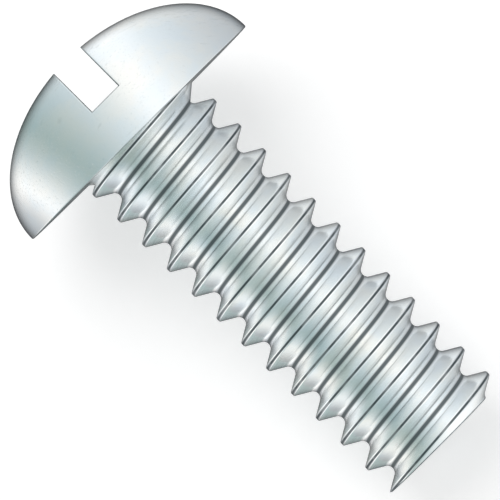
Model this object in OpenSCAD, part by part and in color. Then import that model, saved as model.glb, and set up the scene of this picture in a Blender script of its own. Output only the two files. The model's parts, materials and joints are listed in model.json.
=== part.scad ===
// Slotted round head machine screw, lying on its side as it comes to rest.
// One turned and rolled piece of steel: a semi-elliptical head with a sawn slot, and a shank
// with a right-hand 60 degree thread that runs up to the head.
// The frame's origin is the centre of the flat face under the head. The shank points along +X
// and dips towards its tip, because the head's rim and a thread crest carry it. +Z is up.

/* [Head] */
// Diameter of the head at the flat face under it
head_d = 9.1; // [7:0.1:12]
// Height of the dome above that face
head_h = 3.12; // [2.6:0.01:4.5]
// Radius that rounds the head's rim
rim_r = 0.05; // [0.02:0.01:0.2]

/* [Driver slot] */
// Width of the slot
slot_w = 1.12; // [0.6:0.01:2]
// Depth of the slot below the crown
slot_depth = 1.72; // [0.8:0.01:2]

/* [Thread] */
// Diameter over the thread's crests
major_d = 4.64; // [3.5:0.01:5.6]
// Distance from crest to crest, here 24 threads to the inch
pitch = 1.0583; // [0.8:0.0001:1.3]
// Angle between a groove's two flanks
thread_angle = 60; // [50:1:65]
// Width of the flat along a crest
crest_flat = 0.132; // [0.04:0.001:0.16]
// Height of the thread from root to crest
thread_depth = 0.573; // [0.27:0.001:0.7]

/* [Shank] */
// Length from the head to the tip
shank_len = 13.05; // [8:0.05:30]
// Radius of the fillet between the head and the shank
fillet_r = 0.3; // [0.05:0.01:0.4]
// Angle to the axis at which that fillet ends and the thread's roots run out
runout_angle = 50; // [30:1:75]
// Direction about the axis in which a crest runs out at the tip
tip_crest_dir = -80; // [-180:1:180]

/* [Smoothness] */
// Flats in one turn of the thread
thread_steps = 36; // [24:2:64]

/* [Hidden] */

head_r = head_d / 2;
crest_r = major_d / 2;
root_r = crest_r - thread_depth;
half_flat = crest_flat / 2;

// A flank falls this far towards the axis for each millimetre along it.
flank_fall = 1 / tan(thread_angle / 2);

// Radius of the arc that rounds a root and meets both flanks.
root_arc_r = (flank_fall * (pitch / 2 - half_flat) - thread_depth)
    / (1 / sin(thread_angle / 2) - 1);
root_half = root_arc_r * cos(thread_angle / 2);

// The fillet starts this far outside the crests, so that the flat face stays clear of them.
crest_gap = 0.04;
fillet_top_r = crest_r + crest_gap;

// The fillet ends where it slopes as the run-out does, and the run-out goes on from there.
fillet_end_r = fillet_top_r - fillet_r * cos(runout_angle);
fillet_end_z = -fillet_r * (1 - sin(runout_angle));

// The shank's core is sunk this far into the head, and the run-out this far into the roots.
sunk = 0.3;
runout_sunk = 0.1;
runout_r = root_r - runout_sunk;
runout_z = fillet_end_z - (fillet_end_r - runout_r) / tan(runout_angle);

// How far a cutter runs past the surface it cuts.
past = 1;

// Heights in one pitch, counted from a crest's middle, at which the thread has an edge.
profile_rise = [
    half_flat,
    pitch / 2 - root_half,
    pitch / 2,
    pitch / 2 + root_half,
    pitch - half_flat
];
rows_per_turn = len(profile_rise);

// The lowest column of points starts under three pitches below the tip.
turns_below = 3;
thread_turns = ceil((shank_len + sunk) / pitch) + turns_below;
thread_rows = thread_turns * rows_per_turn;

// A thread edge closer than this to an end of the shank is drawn onto it.
end_snap = 0.004;

// Lowest crest edge on the underside, counted from the head, and its distance from the axis.
underside = 180;
lowest_crest = shank_len + half_flat
    - pitch * ((underside - tip_crest_dir) / 360 - floor((underside - tip_crest_dir) / 360));
lowest_r = crest_r * cos(180 / thread_steps);

// From that crest to the centre of the rim's rounding, away from the axis and along it.
rim_rise = head_r - rim_r - lowest_r;
rim_reach = lowest_crest + rim_r;

// The axis dips by this angle when the rim and that crest both touch the ground.
lie_angle = atan(rim_rise / rim_reach) + asin(rim_r / norm([rim_rise, rim_reach]));

// Distance of the thread's surface from the axis, at a rise above a crest's middle.
function thread_r(rise) =
    let (from_crest = min(rise, pitch - rise), from_root = pitch / 2 - from_crest)
    from_crest <= half_flat ? crest_r
    : from_root >= root_half ? crest_r - (from_crest - half_flat) * flank_fall
    : root_r + root_arc_r - sqrt(root_arc_r * root_arc_r - from_root * from_root);

// What is left of a height after whole pitches are taken off.
function within_pitch(height) = height - pitch * floor(height / pitch);

// Direction of a column of the thread's points. The underside falls between two of them.
function column_dir(column) = (column + 0.5) * 360 / thread_steps - 180;

// Height of a crest's middle in that direction, a turn or more below the tip.
function crest_z(dir) =
    pitch * ((dir - tip_crest_dir) / 360 - (turns_below - 1)) - shank_len;

// One point of the thread, held between the tip and the end that is sunk into the head.
function thread_point(column, row) =
    let (
        dir = column_dir(column),
        turn = floor(row / rows_per_turn),
        free_z = crest_z(dir) + turn * pitch + profile_rise[row % rows_per_turn],
        z = free_z < end_snap - shank_len ? -shank_len
            : free_z > sunk - end_snap ? sunk
            : free_z,
        r = z == free_z ? thread_r(profile_rise[row % rows_per_turn])
            : thread_r(within_pitch(z - crest_z(dir)))
    )
    [r * cos(dir), r * sin(dir), z];

// Turned from half of its outline: the dome, the rounded rim that it runs into, and the flat face.
module head() {
    rotate_extrude($fn = 96) {
        translate([0, rim_r])
            intersection() {
                scale([1, (head_h - rim_r) / head_r])
                    circle(r = head_r, $fn = 96);
                square([head_r + past, head_h + past]);
            }
        intersection() {
            translate([head_r - rim_r, rim_r])
                circle(r = rim_r, $fn = 24);
            square([head_r + past, rim_r]);
        }
        square([head_r - rim_r, rim_r]);
    }
}

// The slot runs along X, which points up once the screw lies down.
module slot() {
    translate([-head_r - past, -slot_w / 2, head_h - slot_depth])
        cube([head_d + 2 * past, slot_w, slot_depth + past]);
}

// The fillet under the head and the cone that goes on from it, in which the roots run out.
module neck() {
    rotate_extrude($fn = 96)
        difference() {
            polygon([
                [0, sunk],
                [fillet_top_r, sunk],
                [fillet_top_r, 0],
                [fillet_end_r, fillet_end_z],
                [runout_r, runout_z],
                [0, runout_z]
            ]);
            translate([fillet_top_r, -fillet_r])
                circle(r = fillet_r, $fn = 72);
        }
}

// A right-hand thread: each column of points is the groove's profile, a little higher than
// the column before it, and the last column meets the first one a whole pitch up.
module threaded_shank() {
    column_points = thread_rows + 1;
    tip_centre = thread_steps * column_points;
    top_centre = tip_centre + 1;
    last = thread_steps - 1;
    points = concat(
        [for (column = [0:last]) for (row = [0:thread_rows]) thread_point(column, row)],
        [[0, 0, -shank_len], [0, 0, sunk]]
    );
    sides = [
        for (column = [0:last])
            let (
                next = column == last ? 0 : column + 1,
                climb = column == last ? rows_per_turn : 0
            )
            for (row = [0:thread_rows - 1 - climb])
                let (
                    a = column * column_points + row,
                    b = next * column_points + row + climb
                )
                each [[a, a + 1, b + 1], [a, b + 1, b]]
    ];
    tip = [
        for (column = [0:last])
            [column * column_points, (column + 1) % thread_steps * column_points, tip_centre]
    ];
    top = [
        for (column = [0:last])
            [
                (column + 1) % thread_steps * column_points + thread_rows,
                column * column_points + thread_rows,
                top_centre
            ]
    ];
    polyhedron(points = points, faces = concat(sides, tip, top), convexity = 10);
}

module upright_screw() {
    difference() {
        head();
        slot();
    }
    neck();
    threaded_shank();
}

module screw() {
    color("gainsboro")
        rotate([0, lie_angle - 90, 0])
            upright_screw();
}

screw();
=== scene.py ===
"""A slotted round head machine screw in zinc-plated steel, lying on a pale studio floor."""
import json
import math

import bmesh
import bpy
from bpy.props import FloatProperty, FloatVectorProperty, IntProperty, PointerProperty
from bpy.types import Operator, Panel, PropertyGroup
from mathutils import Matrix, Vector


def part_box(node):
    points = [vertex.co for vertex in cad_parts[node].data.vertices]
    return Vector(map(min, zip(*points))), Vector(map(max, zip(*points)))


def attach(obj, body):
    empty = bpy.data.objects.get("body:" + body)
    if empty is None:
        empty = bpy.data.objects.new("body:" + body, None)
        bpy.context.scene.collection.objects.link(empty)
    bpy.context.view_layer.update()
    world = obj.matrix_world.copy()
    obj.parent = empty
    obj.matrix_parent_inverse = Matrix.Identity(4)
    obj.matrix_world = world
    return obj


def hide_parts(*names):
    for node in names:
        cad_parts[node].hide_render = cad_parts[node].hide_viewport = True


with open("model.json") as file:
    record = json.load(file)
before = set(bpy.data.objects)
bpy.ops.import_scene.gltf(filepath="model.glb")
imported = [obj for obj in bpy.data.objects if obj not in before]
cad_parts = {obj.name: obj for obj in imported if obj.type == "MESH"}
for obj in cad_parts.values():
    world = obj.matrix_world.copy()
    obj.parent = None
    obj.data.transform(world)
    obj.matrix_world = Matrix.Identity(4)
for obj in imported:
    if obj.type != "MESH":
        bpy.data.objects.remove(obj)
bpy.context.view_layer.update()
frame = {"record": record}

bl_info = {
    "name": "Round Head Machine Screw",
    "version": (1, 0, 0),
    "blender": (4, 5, 0),
    "location": "3D View > Sidebar > Screw",
    "description": "A slotted round head machine screw with a rolled thread",
    "category": "Add Mesh",
}

NODE = "screw"
BODY = "root"

MM = 0.001
TURN = 2 * math.pi

# Distances in millimetres: a cut takes in points this near to it, and points this near to each
# other lie in one place.
CUT_NEAR = 1e-5
SAME_PLACE = 1e-4

INCH = 25.4
THREADS_PER_INCH = 24

# Directions of the lying screw in the frame. The flat face under the head looks to the tip.
MOUNTS = {mount["name"]: mount for mount in frame["record"]["mounts"]}
TO_TIP = Vector(MOUNTS["bearing_face"]["axis"]).normalized()
ACROSS = Vector((0, 1, 0))
FACING = TO_TIP.cross(ACROSS).normalized()

# Read from the frame: the head's diameter in millimetres and the floor's height in metres.
HEAD_D = (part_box(NODE)[1].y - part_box(NODE)[0].y) / MM
FLOOR_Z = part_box(NODE)[0].z


def upright_to_lying():
    """The turn that lays down a screw whose head points along +Z and whose slot runs along X."""
    return Matrix((FACING, ACROSS, -TO_TIP)).transposed().to_4x4()


def srgb(hex_code):
    """A colour written as sRGB hex, such as C9D0D1, as Blender's linear RGBA."""
    channels = [int(hex_code[start:start + 2], 16) / 255 for start in (0, 2, 4)]
    linear = [c / 12.92 if c <= 0.04045 else ((c + 0.055) / 1.055) ** 2.4 for c in channels]
    return (*linear, 1.0)


class ScrewSizes(PropertyGroup):
    """Sizes of the screw in millimetres, as a maker would state them."""
    head_d: FloatProperty(name="Head diameter", description="Across the flat face under the head",
                          default=HEAD_D, min=5, max=15)
    head_h: FloatProperty(name="Head height", description="From the flat face to the crown",
                          default=3.12, min=2, max=5)
    slot_w: FloatProperty(name="Slot width", description="Between the slot's walls",
                          default=1.12, min=0.5, max=2)
    slot_depth: FloatProperty(name="Slot depth", description="Below the crown",
                              default=1.72, min=0.5, max=2.5)
    major_d: FloatProperty(name="Thread diameter", description="Over the thread's crests",
                           default=4.64, min=3, max=6)
    pitch: FloatProperty(name="Pitch", description="From crest to crest",
                         default=INCH / THREADS_PER_INCH, min=0.8, max=1.3)
    tip_crest_dir: FloatProperty(name="Thread end", description="Direction about the axis in which "
                                 "a crest runs out at the tip",
                                 default=math.radians(-80), subtype="ANGLE")
    thread_depth: FloatProperty(name="Thread depth", description="From crest to root",
                                default=0.573, min=0.3, max=0.7)
    crest_flat: FloatProperty(name="Crest flat", description="Width of the flat along a crest",
                              default=0.132, min=0.05, max=0.2)
    thread_angle: FloatProperty(name="Thread angle", description="Between a groove's two flanks",
                                default=math.radians(60), subtype="ANGLE")
    shank_len: FloatProperty(name="Length", description="From the flat face to the tip",
                             default=13.05, min=8, max=30)
    fillet_r: FloatProperty(name="Fillet", description="Radius between the head and the shank",
                            default=0.3, min=0.05, max=0.4)
    runout_angle: FloatProperty(name="Run-out angle", description="Slope at which the fillet ends "
                                "and the thread's roots run out",
                                default=math.radians(50), subtype="ANGLE")
    edge_r: FloatProperty(name="Edge rounding", description="Radius on the slot's edges",
                          default=0.035, min=0.01, max=0.06)
    rim_r: FloatProperty(name="Rim rounding", description="Radius on the head's lower edge",
                         default=0.05, min=0.02, max=0.2)


class ScrewFinish(PropertyGroup):
    """Colours of the plating, which is cloudy between two tints."""
    zinc_cool: FloatVectorProperty(name="Cool zinc", description="Coolest tint of the plating",
                                   subtype="COLOR", size=4, min=0, max=1, default=srgb("E8EEF1"))
    zinc_warm: FloatVectorProperty(name="Warm zinc", description="Warmest tint of the plating",
                                   subtype="COLOR", size=4, min=0, max=1, default=srgb("F0F0ED"))
    # Painted light: the thread's tints are lighter than the plating's elsewhere, which brightens
    # the shank as more light would.
    brightened_thread_cool: FloatVectorProperty(name="Cool thread", description="Coolest tint of the thread, "
                                     "which its dies have burnished",
                                     subtype="COLOR", size=4, min=0, max=1,
                                     default=srgb("F4F8FA"))
    brightened_thread_warm: FloatVectorProperty(name="Warm thread", description="Warmest tint of the thread",
                                     subtype="COLOR", size=4, min=0, max=1,
                                     default=srgb("FAFAF7"))
    # This dark colour is painted shade in the thread's roots, down the slot and under the head, and
    # real residue in scratches, dents, rings, the crest seam and the burr.
    shade_and_residue: FloatVectorProperty(name="Residue", description="Dull film in roots and corners",
                                 subtype="COLOR", size=4, min=0, max=1, default=srgb("596163"))


class ScrewDetail(PropertyGroup):
    """How finely the screw's curved faces are divided."""
    dome_columns: IntProperty(name="Dome columns", description="Faces round a slice of the dome",
                              default=224, min=64)
    dome_rings: IntProperty(name="Dome rings", description="Slices from one side to the other",
                            default=90, min=30)
    turn_steps: IntProperty(name="Thread steps", description="Faces in one turn of the thread",
                            default=120, min=40)


class StudioLook(PropertyGroup):
    """The light, the floor and the camera."""
    key_power: FloatProperty(name="Key light", description="Power of the large softbox",
                             default=1.2, min=0, unit="POWER")
    floor_colour: FloatVectorProperty(name="Floor", description="Colour of the floor's matte side",
                                      subtype="COLOR", size=4, min=0, max=1,
                                      default=srgb("E6E6E6"))
    lens: FloatProperty(name="Lens", description="Long, so that perspective hardly shows",
                        default=1000, min=50, max=5000, unit="CAMERA")


CLASSES_OF_SETTINGS = (ScrewSizes, ScrewFinish, ScrewDetail, StudioLook)


def boundary_loop(bm):
    """The open edges of a mesh."""
    return [edge for edge in bm.edges if edge.is_boundary]


def each_once(items):
    """A list without repeats, in the order in which its items first came."""
    return list(dict.fromkeys(items))


def push_loop(bm, edges, radial, height):
    """Extrudes a round loop of edges, scaled about the axis and moved to a height."""
    made = bmesh.ops.extrude_edge_only(bm, edges=edges)["geom"]
    verts = [item for item in made if isinstance(item, bmesh.types.BMVert)]
    for vert in verts:
        vert.co.x *= radial
        vert.co.y *= radial
        vert.co.z = height
    return [item for item in made if isinstance(item, bmesh.types.BMEdge) and item.is_boundary]


def radius_of(edges):
    """Distance of a round loop of edges from the axis."""
    return max(edge.verts[0].co.xy.length for edge in edges)


# The finishes, in the order in which screw_materials makes them.
DOME, SLOT, BURR, FACED, THREAD = range(5)

# Faces that meet at a sharper angle than this show an edge.
CREASE = math.radians(38)

# Patterns, as features in a millimetre. The finest real ones, such as polishing lines, would be
# too small to see, so the marks are drawn about twice as coarse as they are.
CLOUDS_PER_MM = 0.5
PEEL_PER_MM = 5
PEEL_HEIGHT = 0.0012
DENTS_PER_MM = 0.9
SAW_MARKS_PER_MM = 14
RINGS_PER_MM = 9
DIE_LINES_PER_MM = 14

# The tent's bands, by how far a surface leans across the screw: 0 faces up, 1 is upright.
TENT_BANDS = (
    (-1.00, "A8ACB0"), (-0.88, "C0C4C8"), (-0.78, "FFFFFF"), (-0.72, "FFFFFF"),
    (-0.60, "C4CED0"), (-0.46, "9BADAC"), (-0.37, "9BADAC"), (-0.16, "C2CCCE"),
    (0.04, "E2E8EA"), (0.17, "FFFFFF"), (0.28, "FFFFFF"), (0.42, "E8ECEE"),
    (0.62, "D2D7DA"), (0.80, "C4C8CC"), (1.00, "B0B4B8"),
)

# The tent's radius in metres, and its strength.
TENT_RADIUS = 0.6
TENT_STRENGTH = 1.2

# Surfaces turned away from the viewer mirror the tent's dark edge. These are its share of the
# strength, and how far a surface faces the viewer where the edge is darkest and where it ends.
TENT_EDGE = 0.06
EDGE_DARKEST = 0.06
EDGE_ENDS = 0.40

# How much a lean along the screw counts beside one across it, where the bands are placed.
ALONG_SHARE = 0.85

# Light of the white room on matt surfaces, and the floor's own part of its whiteness.
ROOM_LIGHT = 0.55
FLOOR_LIFT = 0.43
WHITE = "FFFFFF"

# The floor's half width, and the softbox's place and size, in metres.
FLOOR_HALF = 1.5
KEY_PLACE = (-0.25, 0.02, 0.5)
KEY_SIZE = 0.4

# Settings of the shader nodes that come back most often.
ADD = {"operation": "ADD"}
MULTIPLY = {"operation": "MULTIPLY"}
MULTIPLY_ADD = {"operation": "MULTIPLY_ADD"}
LARGEST = {"operation": "MAXIMUM"}
COLOURS = {"data_type": "RGBA"}
SMOOTH = {"interpolation_type": "SMOOTHSTEP"}


def make_head(sizes, detail):
    """The slotted dome, its flat face and the fillet and cone that run into the thread."""
    head_r = sizes.head_d / 2
    half_w = sizes.slot_w / 2
    floor_z = sizes.head_h - sizes.slot_depth
    bm = bmesh.new()
    bmesh.ops.create_uvsphere(bm, u_segments=detail.dome_columns, v_segments=detail.dome_rings,
                              radius=1)
    bmesh.ops.rotate(bm, verts=bm.verts, matrix=Matrix.Rotation(math.pi / 2, 3, "X"))
    bmesh.ops.scale(bm, verts=bm.verts, vec=(head_r, head_r, sizes.head_h - sizes.rim_r))
    bmesh.ops.translate(bm, verts=bm.verts, vec=(0, 0, sizes.rim_r))
    for side in (-1, 1):
        bmesh.ops.bisect_plane(bm, geom=bm.verts[:] + bm.edges[:] + bm.faces[:],
                               plane_co=(0, side * half_w, 0), plane_no=(0, 1, 0),
                               dist=CUT_NEAR)
    # The ball's poles lie on the head's widest line, so this cut just above it leaves them out.
    above_poles = 0.06
    bmesh.ops.bisect_plane(bm, geom=bm.verts[:] + bm.edges[:] + bm.faces[:],
                           plane_co=(0, 0, sizes.rim_r + above_poles), plane_no=(0, 0, 1),
                           dist=CUT_NEAR, clear_inner=True)
    cut_slot(bm, half_w, floor_z, sizes.edge_r)
    close_underside(bm, sizes)
    bmesh.ops.recalc_face_normals(bm, faces=bm.faces)
    return bm


def cut_slot(bm, half_w, floor_z, edge_r):
    """Takes out the strip of dome over the slot, builds its walls and floor, rounds the edges."""
    between = [face for face in bm.faces if abs(face.calc_center_median().y) < half_w]
    strip = each_once(item for face in between for item in (*face.verts, *face.edges, face))
    bmesh.ops.bisect_plane(bm, geom=strip, plane_co=(0, 0, floor_z), plane_no=(0, 0, 1),
                           dist=CUT_NEAR)
    over = [face for face in bm.faces
            if abs(face.calc_center_median().y) < half_w
            and face.calc_center_median().z > floor_z]
    bmesh.ops.delete(bm, geom=over, context="FACES")
    wall_faces = []
    floor_edges = [edge for edge in boundary_loop(bm)
                   if all(abs(vert.co.z - floor_z) < SAME_PLACE for vert in edge.verts)]
    top_edges = [edge for edge in boundary_loop(bm)
                 if edge not in floor_edges
                 and min(vert.co.z for vert in edge.verts) > floor_z - SAME_PLACE]
    for side in (-1, 1):
        curve = [edge for edge in top_edges if edge.verts[0].co.y * side > 0]
        ends = [vert for edge in curve for vert in edge.verts
                if abs(vert.co.z - floor_z) < SAME_PLACE]
        foot = bmesh.ops.contextual_create(bm, geom=ends)["edges"]
        floor_edges += foot
        wall_faces += bmesh.ops.contextual_create(bm, geom=curve + foot)["faces"]
    wall_faces += bmesh.ops.contextual_create(bm, geom=floor_edges)["faces"]
    for face in wall_faces:
        face.material_index = SLOT
    corners = each_once(edge for face in wall_faces for edge in face.edges)
    edge_steps = 3
    bmesh.ops.bevel(bm, geom=corners, offset=edge_r, affect="EDGES", segments=edge_steps,
                    profile=0.5, material=BURR, clamp_overlap=True)


def close_underside(bm, sizes):
    """Draws the rim, the flat face, the fillet and the thread's run-out in from the dome."""
    head_r = sizes.head_d / 2
    root_r = sizes.major_d / 2 - sizes.thread_depth
    # The flat face stays this far outside the crests, and the run-out ends this far in the roots.
    crest_gap = 0.04
    runout_sunk = 0.1
    fillet_top = sizes.major_d / 2 + crest_gap
    path = [(head_r, sizes.rim_r, DOME)]
    rim_steps = 5
    for step in range(1, rim_steps + 1):
        turn = math.pi / 2 * step / rim_steps
        path.append((head_r - sizes.rim_r * (1 - math.cos(turn)),
                     sizes.rim_r * (1 - math.sin(turn)), DOME))
    flat_r = path[-1][0]
    face_steps = 8
    for step in range(1, face_steps + 1):
        path.append((flat_r + (fillet_top - flat_r) * step / face_steps, 0, FACED))
    # The fillet ends where it slopes as the run-out does, and the cone goes on from there.
    fillet_steps = 6
    for step in range(1, fillet_steps + 1):
        turn = (math.pi / 2 - sizes.runout_angle) * step / fillet_steps
        path.append((fillet_top - sizes.fillet_r * math.sin(turn),
                     -sizes.fillet_r * (1 - math.cos(turn)), THREAD))
    fillet_end_r, fillet_end_z = path[-1][:2]
    runout_r = root_r - runout_sunk
    runout_drop = (fillet_end_r - runout_r) / math.tan(sizes.runout_angle)
    runout_steps = 4
    for step in range(1, runout_steps + 1):
        share = step / runout_steps
        path.append((fillet_end_r + (runout_r - fillet_end_r) * share,
                     fillet_end_z - runout_drop * share, THREAD))
    loop = boundary_loop(bm)
    for radius, height, finish in path:
        known = set(bm.faces)
        loop = push_loop(bm, loop, radius / radius_of(loop), height)
        for face in bm.faces:
            if face not in known:
                face.material_index = finish
    bmesh.ops.contextual_create(bm, geom=loop)


def extend(bm, vert, place):
    """Draws an edge from a vertex to a place and returns the new vertex."""
    made = bmesh.ops.extrude_vert_indiv(bm, verts=[vert])
    made["verts"][0].co = place
    return made["verts"][0]


def swing(bm, vert, centre, axis, angle, steps):
    """Draws an arc of edges from a vertex and returns its last vertex."""
    made = bmesh.ops.spin(bm, geom=[vert], cent=centre, axis=axis, dvec=(0, 0, 0), angle=angle,
                          steps=steps, use_duplicate=False)
    return next(item for item in made["geom_last"] if isinstance(item, bmesh.types.BMVert))


def make_shank(sizes, detail):
    """A right-hand thread: the outline of one groove spun round the axis as it climbs."""
    pitch = sizes.pitch
    crest_r = sizes.major_d / 2
    root_r = crest_r - sizes.thread_depth
    half = sizes.thread_angle / 2
    flank_turn = math.pi / 2 - half
    crest_round = 0.035
    crest_steps = 4
    flank_steps = 3
    root_steps = 6
    flank_fall = 1 / math.tan(half)
    root_arc_r = ((flank_fall * (pitch - sizes.crest_flat) / 2 - sizes.thread_depth)
                  / (1 / math.sin(half) - 1))
    crest_end = sizes.crest_flat / 2 - crest_round * math.tan(flank_turn / 2)
    # Half of a groove's outline, from a crest's middle down to the root at height nought.
    bm = bmesh.new()
    vert = bm.verts.new((crest_r, 0, -pitch / 2))
    vert = extend(bm, vert, (crest_r, 0, crest_end - pitch / 2))
    vert = swing(bm, vert, (crest_r - crest_round, 0, crest_end - pitch / 2), (0, -1, 0),
                 flank_turn, crest_steps)
    start = vert.co.copy()
    foot = Vector((root_r + root_arc_r * (1 - math.sin(half)), 0, -root_arc_r * math.cos(half)))
    for step in range(1, flank_steps + 1):
        vert = extend(bm, vert, start.lerp(foot, step / flank_steps))
    swing(bm, vert, (root_r + root_arc_r, 0, 0), (0, 1, 0), flank_turn, root_steps)
    bmesh.ops.mirror(bm, geom=bm.verts[:] + bm.edges[:], axis="Z", merge_dist=SAME_PLACE)

    # The outline climbs one pitch as it goes round once, and each turn is set on the last.
    bmesh.ops.spin(bm, geom=bm.verts[:] + bm.edges[:], cent=(0, 0, 0), axis=(0, 0, 1),
                   dvec=(0, 0, pitch / detail.turn_steps), angle=TURN,
                   steps=detail.turn_steps, use_duplicate=False)
    turns_below = 2
    first_root = 0.5 - sizes.tip_crest_dir / TURN - turns_below
    bmesh.ops.translate(bm, verts=bm.verts, vec=(0, 0, pitch * first_root - sizes.shank_len))
    one_turn = bm.verts[:] + bm.edges[:] + bm.faces[:]
    # The shank is sunk this far into the head. Where turns meet, points this near are merged.
    sunk = 0.3
    weld = 0.002
    for turn in range(1, math.ceil((sizes.shank_len + sunk) / pitch) + turns_below + 1):
        copy = bmesh.ops.duplicate(bm, geom=one_turn)["geom"]
        bmesh.ops.translate(bm, vec=(0, 0, turn * pitch),
                            verts=[item for item in copy if isinstance(item, bmesh.types.BMVert)])
    bmesh.ops.remove_doubles(bm, verts=bm.verts, dist=weld)

    tip_break = 0.03
    tip_z = -sizes.shank_len + tip_break
    for height, keep_up in ((tip_z, True), (sunk, False)):
        bmesh.ops.bisect_plane(bm, geom=bm.verts[:] + bm.edges[:] + bm.faces[:], dist=CUT_NEAR,
                               plane_co=(0, 0, height), plane_no=(0, 0, 1 if keep_up else -1),
                               clear_inner=True)
    for face in bm.faces:
        face.material_index = THREAD
    low = [edge for edge in boundary_loop(bm) if edge.verts[0].co.z < 0]
    high = [edge for edge in boundary_loop(bm) if edge.verts[0].co.z > 0]
    bmesh.ops.contextual_create(bm, geom=high)
    low = push_loop(bm, low, 1 - tip_break / root_r, -sizes.shank_len)
    for face in bm.faces:
        if face.calc_center_median().z < tip_z:
            face.material_index = BURR
    face_loops = (0.8, 0.5)
    for share in face_loops:
        low = push_loop(bm, low, share, -sizes.shank_len)
    end = bmesh.ops.contextual_create(bm, geom=low)["faces"]
    for face in bm.faces:
        if face in end or abs(face.calc_center_median().z + sizes.shank_len) < SAME_PLACE:
            face.material_index = FACED
    bmesh.ops.recalc_face_normals(bm, faces=bm.faces)
    return bm


def to_object(bm, name, materials):
    """A mesh object from a bmesh, with the screw's finishes in its slots."""
    mesh = bpy.data.meshes.new(name)
    bm.to_mesh(mesh)
    bm.free()
    for material in materials:
        mesh.materials.append(material)
    obj = bpy.data.objects.new(name, mesh)
    bpy.context.scene.collection.objects.link(obj)
    return obj


def join_solids(obj, other):
    """Unites two closed meshes into one, without slivers, and removes the second."""
    union = obj.modifiers.new("Union", "BOOLEAN")
    union.operation = "UNION"
    union.solver = "EXACT"
    union.object = other
    seen = obj.evaluated_get(bpy.context.evaluated_depsgraph_get())
    whole = bpy.data.meshes.new_from_object(seen)
    obj.modifiers.clear()
    bm = bmesh.new()
    bm.from_mesh(whole)
    sliver = 0.0005
    bmesh.ops.dissolve_degenerate(bm, dist=sliver, edges=bm.edges)
    # A point that only two edges meet is no corner, and could fold a sliver out of the mesh.
    bmesh.ops.dissolve_verts(bm, verts=[vert for vert in bm.verts if len(vert.link_edges) == 2])
    bm.to_mesh(whole)
    bm.free()
    obj.data = whole
    bpy.data.objects.remove(other)


def lay_down(obj):
    """Turns the upright screw in millimetres to its place in the frame, in metres."""
    obj.data.transform(upright_to_lying() @ Matrix.Scale(MM, 4))


def shade(obj):
    """Smooth shading that breaks at creases, with the large flat faces left flat."""
    mesh = obj.data
    mesh.shade_smooth()
    mesh.set_sharp_from_angle(angle=CREASE)
    most_corners = 8
    for face in mesh.polygons:
        if face.loop_total > most_corners:
            face.use_smooth = False


def add(tree, kind, settings=None, inputs=None):
    """Adds a shader node. An input takes a value, a socket, or a node for its first output."""
    node = tree.nodes.new(kind)
    for key, value in (settings or {}).items():
        setattr(node, key, value)
    for key, value in (inputs or {}).items():
        if isinstance(value, bpy.types.Node):
            value = value.outputs[0]
        if isinstance(value, bpy.types.NodeSocket):
            tree.links.new(value, node.inputs[key])
        else:
            node.inputs[key].default_value = value
    return node


def empty_material(name):
    """A node material with nothing in it."""
    material = bpy.data.materials.new(name)
    material.use_nodes = True
    material.node_tree.nodes.clear()
    return material


def plated_surface(name):
    """A new material and the place on the screw that it reads: millimetres, head up, slot on X."""
    material = empty_material(name)
    tree = material.node_tree
    place = add(tree, "ShaderNodeTexCoord")
    mm = add(tree, "ShaderNodeMapping", {"vector_type": "POINT"}, {
        "Vector": place.outputs["Object"], "Scale": (1 / MM, 1 / MM, 1 / MM),
        "Rotation": upright_to_lying().inverted().to_euler()})
    return material, mm


def streaks(tree, mm, stretch, detail=2.0):
    """Noise from 0 to 1 that is drawn out along an axis: stretch holds lines per millimetre."""
    drawn = add(tree, "ShaderNodeMapping", {"vector_type": "POINT"}, {
        "Vector": mm, "Scale": stretch})
    return add(tree, "ShaderNodeTexNoise", inputs={
        "Vector": drawn, "Scale": 1.0, "Detail": detail, "Roughness": 0.55})


def zinc_tints():
    """The plating's coolest and warmest tint."""
    finish = bpy.context.scene.screw_finish
    return finish.zinc_cool, finish.zinc_warm


def brightened_thread_tints():
    """The thread's coolest and warmest tint, lighter than the plating's elsewhere as painted light.
    """
    finish = bpy.context.scene.screw_finish
    return finish.brightened_thread_cool, finish.brightened_thread_warm


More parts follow.
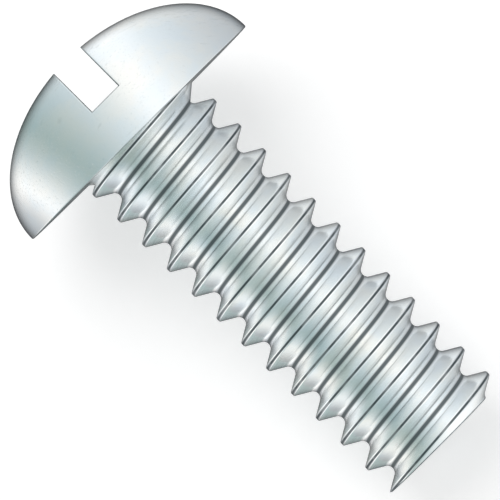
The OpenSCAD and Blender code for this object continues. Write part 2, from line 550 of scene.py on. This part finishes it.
def zinc_plated_steel(material, mm, tints, roughness, grime_and_painted_shade, marks, marks_height):
    """Bright zinc with a clear passivate: a cool white metal, cloudy where the coat is thicker.

    Tints are its coolest and warmest colours. The grime mask is 0 where the plating is clean and 1
    where it takes the residue colour and is duller: real residue in scratches, dents, rings, the
    crest seam and the burr, and painted shade in the thread's roots, down the slot and under the
    head.
    Marks are a relief from 0 to 1, marks_height millimetres deep.
    """
    finish = bpy.context.scene.screw_finish
    tree = material.node_tree
    clouds = add(tree, "ShaderNodeTexNoise", inputs={
        "Vector": mm, "Scale": CLOUDS_PER_MM, "Detail": 4.0, "Roughness": 0.6})
    warmth = add(tree, "ShaderNodeMapRange", SMOOTH, {
        "Value": clouds, "From Min": 0.35, "From Max": 0.65})
    tint = add(tree, "ShaderNodeMix", COLOURS, {
        "Factor": warmth, 6: tints[0], 7: tints[1]})
    # The residue colour mixed in here is painted shade where the mask marks the roots, the slot's
    # depth and the corner under the head, and real residue elsewhere.
    stain_and_shade = add(tree, "ShaderNodeMix", COLOURS, {
        "Factor": grime_and_painted_shade, 6: tint.outputs[2], 7: finish.shade_and_residue})
    peel = add(tree, "ShaderNodeTexNoise", inputs={
        "Vector": mm, "Scale": PEEL_PER_MM, "Detail": 3.0, "Roughness": 0.6})
    # What the thinner and the thicker coat, its peel and the mask of grime and painted shade add to
    # the roughness.
    thinner, thicker, peeling, dulling = -0.03, 0.04, 0.06, 0.2
    cloudy = add(tree, "ShaderNodeMapRange", inputs={
        "Value": clouds, "From Min": 0.3, "From Max": 0.7,
        "To Min": roughness + thinner, "To Max": roughness + thicker})
    speckled = add(tree, "ShaderNodeMath", MULTIPLY_ADD, {0: peel, 1: peeling, 2: cloudy})
    dull = add(tree, "ShaderNodeMath", MULTIPLY_ADD, {0: grime_and_painted_shade, 1: dulling, 2: speckled})
    skin = add(tree, "ShaderNodeBump", inputs={
        "Height": peel, "Distance": PEEL_HEIGHT * MM, "Strength": 1.0})
    relief = add(tree, "ShaderNodeBump", inputs={
        "Height": marks, "Distance": marks_height * MM, "Strength": 1.0, "Normal": skin})
    steel = add(tree, "ShaderNodeBsdfPrincipled", inputs={
        "Base Color": stain_and_shade.outputs[2], "Metallic": 1.0, "Roughness": dull, "Normal": relief})
    add(tree, "ShaderNodeOutputMaterial", inputs={"Surface": steel})
    return material


def plated_dome():
    """A cold-headed dome, tumbled in a barrel: smooth, with a few fine scratches and dents."""
    material, mm = plated_surface("plated_dome")
    tree = material.node_tree
    turned = add(tree, "ShaderNodeMapping", {"vector_type": "POINT"}, {
        "Vector": mm, "Rotation": (0.3, 0.5, math.radians(35))})
    along = add(tree, "ShaderNodeMapRange", SMOOTH, {
        "Value": streaks(tree, turned, (0.5, 16, 16)), "From Min": 0.63, "From Max": 0.7})
    across = add(tree, "ShaderNodeMapRange", SMOOTH, {
        "Value": streaks(tree, mm, (13, 0.7, 9)), "From Min": 0.66, "From Max": 0.72})
    scratches = add(tree, "ShaderNodeMath", {"operation": "ADD", "use_clamp": True}, {
        0: along, 1: across})
    # A dent lies round the middle of a cell, in about three cells of eight.
    cells = add(tree, "ShaderNodeTexVoronoi", inputs={
        "Vector": mm, "Scale": DENTS_PER_MM, "Randomness": 1.0})
    hollow = add(tree, "ShaderNodeMapRange", SMOOTH, {
        "Value": cells.outputs["Distance"], "From Min": 0.14, "From Max": 0.04})
    number = add(tree, "ShaderNodeSeparateColor", inputs={0: cells.outputs["Color"]})
    chosen = add(tree, "ShaderNodeMapRange", SMOOTH, {
        "Value": number.outputs[0], "From Min": 0.62, "From Max": 0.64})
    dents = add(tree, "ShaderNodeMath", MULTIPLY, {0: hollow, 1: chosen})
    half_scratches = add(tree, "ShaderNodeMath", MULTIPLY, {0: scratches, 1: 0.5})
    worn = add(tree, "ShaderNodeMath", MULTIPLY_ADD, {0: dents, 1: 0.5, 2: half_scratches})
    low = add(tree, "ShaderNodeMath", {"operation": "SUBTRACT"}, {0: 1.0, 1: worn})
    grime_and_painted_shade = add(tree, "ShaderNodeMath", MULTIPLY, {0: worn, 1: 0.12})
    return zinc_plated_steel(material, mm, zinc_tints(), roughness=0.13, grime_and_painted_shade=grime_and_painted_shade,
                             marks=low, marks_height=0.004)


def sawn_slot():
    """Left by a slitting saw: fine marks along the slot, and plating that is rougher down inside
    it, with painted shade darkening its depth and corners.
    """
    material, mm = plated_surface("sawn_slot")
    tree = material.node_tree
    marks = streaks(tree, mm, (0.4, SAW_MARKS_PER_MM, SAW_MARKS_PER_MM), 3.0)
    axes = add(tree, "ShaderNodeSeparateXYZ", inputs={0: mm})
    sizes = bpy.context.scene.screw_sizes
    floor_z = sizes.head_h - sizes.slot_depth
    # Heights above the slot's floor, and widths from its walls, where painted shade darkens the
    # plating and it grows rougher.
    dull_height = 0.9
    corner_size = 0.12
    corner_end = 0.01
    # Painted shade: the plating darkens towards the slot's floor and in the corners where the floor
    # meets the walls.
    painted_depth_shade = add(tree, "ShaderNodeMapRange", SMOOTH, {
        "Value": axes.outputs["Z"], "From Min": floor_z + dull_height, "From Max": floor_z,
        "To Min": 0.05, "To Max": 0.3})
    foot = add(tree, "ShaderNodeMapRange", SMOOTH, {
        "Value": axes.outputs["Z"], "From Min": floor_z + corner_size,
        "From Max": floor_z + corner_end, "To Max": 0.35})
    side = add(tree, "ShaderNodeMath", {"operation": "ABSOLUTE"}, {0: axes.outputs["Y"]})
    by_wall = add(tree, "ShaderNodeMapRange", SMOOTH, {
        "Value": side, "From Min": sizes.slot_w / 2 - corner_size, "From Max": sizes.slot_w / 2})
    painted_corner_shade = add(tree, "ShaderNodeMath", MULTIPLY, {0: foot, 1: by_wall})
    grime_and_painted_shade = add(tree, "ShaderNodeMath", ADD, {0: painted_depth_shade, 1: painted_corner_shade})
    return zinc_plated_steel(material, mm, zinc_tints(), roughness=0.26, grime_and_painted_shade=grime_and_painted_shade,
                             marks=marks, marks_height=0.006)


def saw_burr():
    """The slot's edges, where the saw left a fine burr that the plating barely covers."""
    material, mm = plated_surface("saw_burr")
    tree = material.node_tree
    ragged = streaks(tree, mm, (4, 4, 4), 3.0)
    grime_and_painted_shade = add(tree, "ShaderNodeMapRange", SMOOTH, {
        "Value": ragged, "From Min": 0.3, "From Max": 0.7, "To Min": 0.75})
    return zinc_plated_steel(material, mm, zinc_tints(), roughness=0.3, grime_and_painted_shade=grime_and_painted_shade,
                             marks=ragged, marks_height=0.004)


def faced_end():
    """The flat faces under the head and at the tip: fine rings round the axis, and painted shade on
    the face under the head next to the shank.
    """
    material, mm = plated_surface("faced_end")
    tree = material.node_tree
    flat = add(tree, "ShaderNodeVectorMath", MULTIPLY, {0: mm, 1: (1, 1, 0)})
    radius = add(tree, "ShaderNodeVectorMath", {"operation": "LENGTH"}, {0: flat})
    rings = add(tree, "ShaderNodeTexNoise", {"noise_dimensions": "1D"}, {
        "W": radius.outputs["Value"], "Scale": RINGS_PER_MM, "Detail": 3.0, "Roughness": 0.6})
    # Painted shade darkens the face under the head, this far out from the thread.
    crest_r = bpy.context.scene.screw_sizes.major_d / 2
    painted_shade_reach = 0.4
    by_thread = add(tree, "ShaderNodeMapRange", SMOOTH, {
        "Value": radius.outputs["Value"], "From Min": crest_r + painted_shade_reach,
        "From Max": crest_r, "To Max": 0.3})
    axes = add(tree, "ShaderNodeSeparateXYZ", inputs={0: mm})
    under_head = add(tree, "ShaderNodeMapRange", SMOOTH, {
        "Value": axes.outputs["Z"], "From Min": -1.0, "From Max": -0.5})
    shade_and_residue = add(tree, "ShaderNodeMath", MULTIPLY, {0: by_thread, 1: under_head})
    grime_and_painted_shade = add(tree, "ShaderNodeMath", MULTIPLY_ADD, {0: rings, 1: 0.16, 2: shade_and_residue})
    return zinc_plated_steel(material, mm, zinc_tints(), roughness=0.18, grime_and_painted_shade=grime_and_painted_shade,
                             marks=rings, marks_height=0.008)


def rolled_thread():
    """Rolled between dies, with a seam along each crest and painted shade in the roots.

    Its tints are lighter than the plating's elsewhere, as painted light.
    """
    material, mm = plated_surface("rolled_thread")
    tree = material.node_tree
    sizes = bpy.context.scene.screw_sizes
    pitch = sizes.pitch
    axes = add(tree, "ShaderNodeSeparateXYZ", inputs={0: mm})
    around = add(tree, "ShaderNodeMath", {"operation": "ARCTAN2"}, {
        0: axes.outputs["Y"], 1: axes.outputs["X"]})
    climbed = add(tree, "ShaderNodeMath", MULTIPLY_ADD, {
        0: around, 1: -pitch / TURN, 2: axes.outputs["Z"]})
    from_tip = add(tree, "ShaderNodeMath", ADD, {
        0: climbed, 1: sizes.shank_len + pitch * sizes.tip_crest_dir / TURN})
    from_crest = add(tree, "ShaderNodeMath", {"operation": "PINGPONG"}, {
        0: from_tip, 1: pitch / 2})
    flat = add(tree, "ShaderNodeVectorMath", MULTIPLY, {0: mm, 1: (1, 1, 0)})
    radius = add(tree, "ShaderNodeVectorMath", {"operation": "LENGTH"}, {0: flat})

    # Painted shade in the roots begins and is full at these heights over a root and distances
    # beside it.
    thin_height, full_height = 0.12, 0.05
    thin_side, full_side = 0.10, 0.03
    root_r = sizes.major_d / 2 - sizes.thread_depth
    deep = add(tree, "ShaderNodeMapRange", SMOOTH, {
        "Value": radius.outputs["Value"], "From Min": root_r + thin_height,
        "From Max": root_r + full_height})
    by_root = add(tree, "ShaderNodeMapRange", SMOOTH, {
        "Value": from_crest, "From Min": pitch / 2 - thin_side,
        "From Max": pitch / 2 - full_side, "To Max": 0.95})
    # Painted shade: the roots darken towards the residue colour.
    painted_root_shade = add(tree, "ShaderNodeMath", MULTIPLY, {0: deep, 1: by_root})

    # The seam's half width to where it fades, and to where it is full.
    seam_fades, seam_full = 0.046, 0.026
    closed = add(tree, "ShaderNodeMapRange", SMOOTH, {
        "Value": from_crest, "From Min": seam_fades, "From Max": seam_full})
    patchy = add(tree, "ShaderNodeMapRange", SMOOTH, {
        "Value": streaks(tree, mm, (1.3, 1.3, 1.3), 3.0), "From Min": 0.3, "From Max": 0.6,
        "To Min": 0.75})
    seam = add(tree, "ShaderNodeMath", MULTIPLY, {0: closed, 1: patchy})
    grime_and_painted_shade = add(tree, "ShaderNodeMath", LARGEST, {0: painted_root_shade, 1: seam})
    lines = add(tree, "ShaderNodeTexNoise", {"noise_dimensions": "1D"}, {
        "W": from_tip, "Scale": DIE_LINES_PER_MM, "Detail": 2.0, "Roughness": 0.6})
    relief = add(tree, "ShaderNodeMath", {"operation": "SUBTRACT"}, {0: lines, 1: seam})
    return zinc_plated_steel(material, mm, brightened_thread_tints(), roughness=0.2, grime_and_painted_shade=grime_and_painted_shade,
                             marks=relief, marks_height=0.003)


def screw_materials():
    """One finish for each way that the screw's surface was made."""
    return [plated_dome(), sawn_slot(), saw_burr(), faced_end(), rolled_thread()]


class SCREW_OT_machine_screw(Operator):
    """Models the whole screw as one closed mesh and lays it in the frame."""
    bl_idname = "screw.machine_screw"
    bl_label = "Machine Screw"

    def execute(self, context):
        sizes = context.scene.screw_sizes
        detail = context.scene.screw_detail
        materials = screw_materials()
        head = to_object(make_head(sizes, detail), "machine_screw", materials)
        shank = to_object(make_shank(sizes, detail), "shank", materials)
        join_solids(head, shank)
        lay_down(head)
        shade(head)
        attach(head, BODY)
        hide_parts(NODE)
        return {"FINISHED"}


def seen_rays(tree):
    """1 for the rays that show the background: to the camera, off metal and through glass."""
    path = add(tree, "ShaderNodeLightPath")
    seen = add(tree, "ShaderNodeMath", LARGEST, {
        0: path.outputs["Is Camera Ray"], 1: path.outputs["Is Glossy Ray"]})
    return add(tree, "ShaderNodeMath", LARGEST, {0: seen, 1: path.outputs["Is Transmission Ray"]})


def studio_floor(colour):
    """A pale matte floor that keeps the screw's shadow and looks white."""
    bm = bmesh.new()
    bmesh.ops.create_grid(bm, x_segments=1, y_segments=1, size=FLOOR_HALF)
    bmesh.ops.translate(bm, verts=bm.verts, vec=(0, 0, FLOOR_Z))
    material = empty_material("studio_floor")
    tree = material.node_tree
    lift = add(tree, "ShaderNodeMath", MULTIPLY, {0: seen_rays(tree), 1: FLOOR_LIFT})
    matte = add(tree, "ShaderNodeBsdfDiffuse", inputs={"Color": colour})
    glow = add(tree, "ShaderNodeEmission", inputs={"Color": srgb(WHITE), "Strength": lift})
    both = add(tree, "ShaderNodeAddShader", inputs={0: matte, 1: glow})
    add(tree, "ShaderNodeOutputMaterial", inputs={"Surface": both})
    obj = to_object(bm, "studio_floor", [material])
    obj.visible_glossy = False
    return obj


def studio_tent():
    """A ball-shaped light tent. The metal mirrors it, and nothing else sees it.

    Each spot is coloured for the slope of the surface that mirrors it up to a viewer over the
    shank. Cards and strip lights hung along these curves show as straight bands on round metal.
    """
    bm = bmesh.new()
    bmesh.ops.create_uvsphere(bm, u_segments=64, v_segments=32, radius=TENT_RADIUS)
    material = empty_material("studio_tent")
    tree = material.node_tree
    place = add(tree, "ShaderNodeTexCoord")
    outward = add(tree, "ShaderNodeVectorMath", {"operation": "NORMALIZE"}, {
        0: place.outputs["Object"]})
    half = add(tree, "ShaderNodeVectorMath", ADD, {0: outward, 1: FACING})
    along = add(tree, "ShaderNodeVectorMath", {"operation": "DOT_PRODUCT"}, {
        0: half, 1: TO_TIP})
    shortening = add(tree, "ShaderNodeMath", MULTIPLY, {
        0: along.outputs["Value"], 1: ALONG_SHARE - 1})
    less = add(tree, "ShaderNodeVectorMath", {"operation": "SCALE"}, {
        0: TO_TIP, "Scale": shortening})
    shortened = add(tree, "ShaderNodeVectorMath", ADD, {0: half, 1: less})
    slope = add(tree, "ShaderNodeVectorMath", {"operation": "NORMALIZE"}, {0: shortened})
    lean = add(tree, "ShaderNodeVectorMath", {"operation": "DOT_PRODUCT"}, {0: slope, 1: ACROSS})
    facing = add(tree, "ShaderNodeVectorMath", {"operation": "DOT_PRODUCT"}, {
        0: slope, 1: FACING})
    share = add(tree, "ShaderNodeMapRange", inputs={
        "Value": lean.outputs["Value"], "From Min": -1.0})
    ramp = add(tree, "ShaderNodeValToRGB", inputs={"Fac": share})
    stops = ramp.color_ramp.elements
    for number, (spot, hex_code) in enumerate(TENT_BANDS):
        stop = stops[number] if number < 2 else stops.new(1.0)
        stop.position = (spot + 1) / 2
        stop.color = srgb(hex_code)
    ramp.color_ramp.interpolation = "B_SPLINE"
    edge = add(tree, "ShaderNodeMapRange", SMOOTH, {
        "Value": facing.outputs["Value"], "From Min": EDGE_DARKEST, "From Max": EDGE_ENDS,
        "To Min": TENT_EDGE * TENT_STRENGTH, "To Max": TENT_STRENGTH})
    glow = add(tree, "ShaderNodeEmission", inputs={"Color": ramp, "Strength": edge})
    add(tree, "ShaderNodeOutputMaterial", inputs={"Surface": glow})
    obj = to_object(bm, "studio_tent", [material])
    obj.visible_camera = False
    obj.visible_diffuse = False
    obj.visible_shadow = False
    obj.visible_transmission = False
    return obj


def studio_world():
    """A plain white room."""
    world = bpy.data.worlds.new("studio_world")
    bpy.context.scene.world = world
    world.use_nodes = True
    tree = world.node_tree
    tree.nodes.clear()
    strength = add(tree, "ShaderNodeMapRange", inputs={
        "Value": seen_rays(tree), "To Min": ROOM_LIGHT})
    room = add(tree, "ShaderNodeBackground", inputs={"Color": srgb(WHITE), "Strength": strength})
    add(tree, "ShaderNodeOutputWorld", inputs={"Surface": room})


def softbox(name, place, size, power):
    """A square area lamp aimed at the screw, left out of its reflections."""
    lamp = bpy.data.lights.new(name, "AREA")
    lamp.shape = "SQUARE"
    lamp.size = size
    lamp.energy = power
    obj = bpy.data.objects.new(name, lamp)
    obj.location = place
    obj.rotation_euler = (-Vector(place)).to_track_quat("-Z", "Y").to_euler()
    obj.visible_glossy = False
    bpy.context.scene.collection.objects.link(obj)
    return obj


def studio_camera(lens):
    """Looks square onto the shank, along the slot, with the head in the upper left corner."""
    mm_per_pixel = 0.030186
    frame_pixels = 500
    bearing_centre = (139.5, 133.0)
    nearest, farthest = 0.1, 20
    right = (TO_TIP + ACROSS).normalized()
    up = (ACROSS - TO_TIP).normalized()
    from_middle = [(side - frame_pixels / 2) * mm_per_pixel * MM for side in bearing_centre]
    target = -from_middle[0] * right + from_middle[1] * up
    data = bpy.data.cameras.new("camera")
    data.lens = lens
    width = frame_pixels * mm_per_pixel * MM
    distance = width * lens / data.sensor_width
    data.clip_start = distance * nearest
    data.clip_end = distance * farthest
    obj = bpy.data.objects.new("camera", data)
    turn = Matrix((right, up, FACING)).transposed().to_4x4()
    obj.matrix_world = Matrix.Translation(target + FACING * distance) @ turn
    bpy.context.scene.collection.objects.link(obj)
    bpy.context.scene.camera = obj


class SCREW_OT_studio(Operator):
    """Sets the room, the floor, the light tent, the softbox and the camera."""
    bl_idname = "screw.studio"
    bl_label = "Studio"

    def execute(self, context):
        look = context.scene.screw_studio
        studio_world()
        studio_floor(look.floor_colour)
        studio_tent()
        softbox("key_softbox", KEY_PLACE, KEY_SIZE, look.key_power)
        studio_camera(look.lens)
        context.scene.view_settings.view_transform = "Standard"
        return {"FINISHED"}


class SCREW_PT_tools(Panel):
    """Lists the screw's operators."""
    bl_idname = "SCREW_PT_tools"
    bl_label = "Machine Screw"
    bl_space_type = "VIEW_3D"
    bl_region_type = "UI"
    bl_category = "Screw"

    def draw(self, context):
        for operator in OPERATORS:
            self.layout.operator(operator.bl_idname)


OPERATORS = (SCREW_OT_machine_screw, SCREW_OT_studio)
CLASSES = (*CLASSES_OF_SETTINGS, *OPERATORS, SCREW_PT_tools)


def register():
    for cls in CLASSES:
        bpy.utils.register_class(cls)
    bpy.types.Scene.screw_sizes = PointerProperty(type=ScrewSizes)
    bpy.types.Scene.screw_finish = PointerProperty(type=ScrewFinish)
    bpy.types.Scene.screw_detail = PointerProperty(type=ScrewDetail)
    bpy.types.Scene.screw_studio = PointerProperty(type=StudioLook)


def unregister():
    del bpy.types.Scene.screw_studio
    del bpy.types.Scene.screw_detail
    del bpy.types.Scene.screw_finish
    del bpy.types.Scene.screw_sizes
    for cls in reversed(CLASSES):
        bpy.utils.unregister_class(cls)


def main():
    register()
    bpy.ops.screw.machine_screw()
    bpy.ops.screw.studio()


if __name__ == "__main__":
    main()
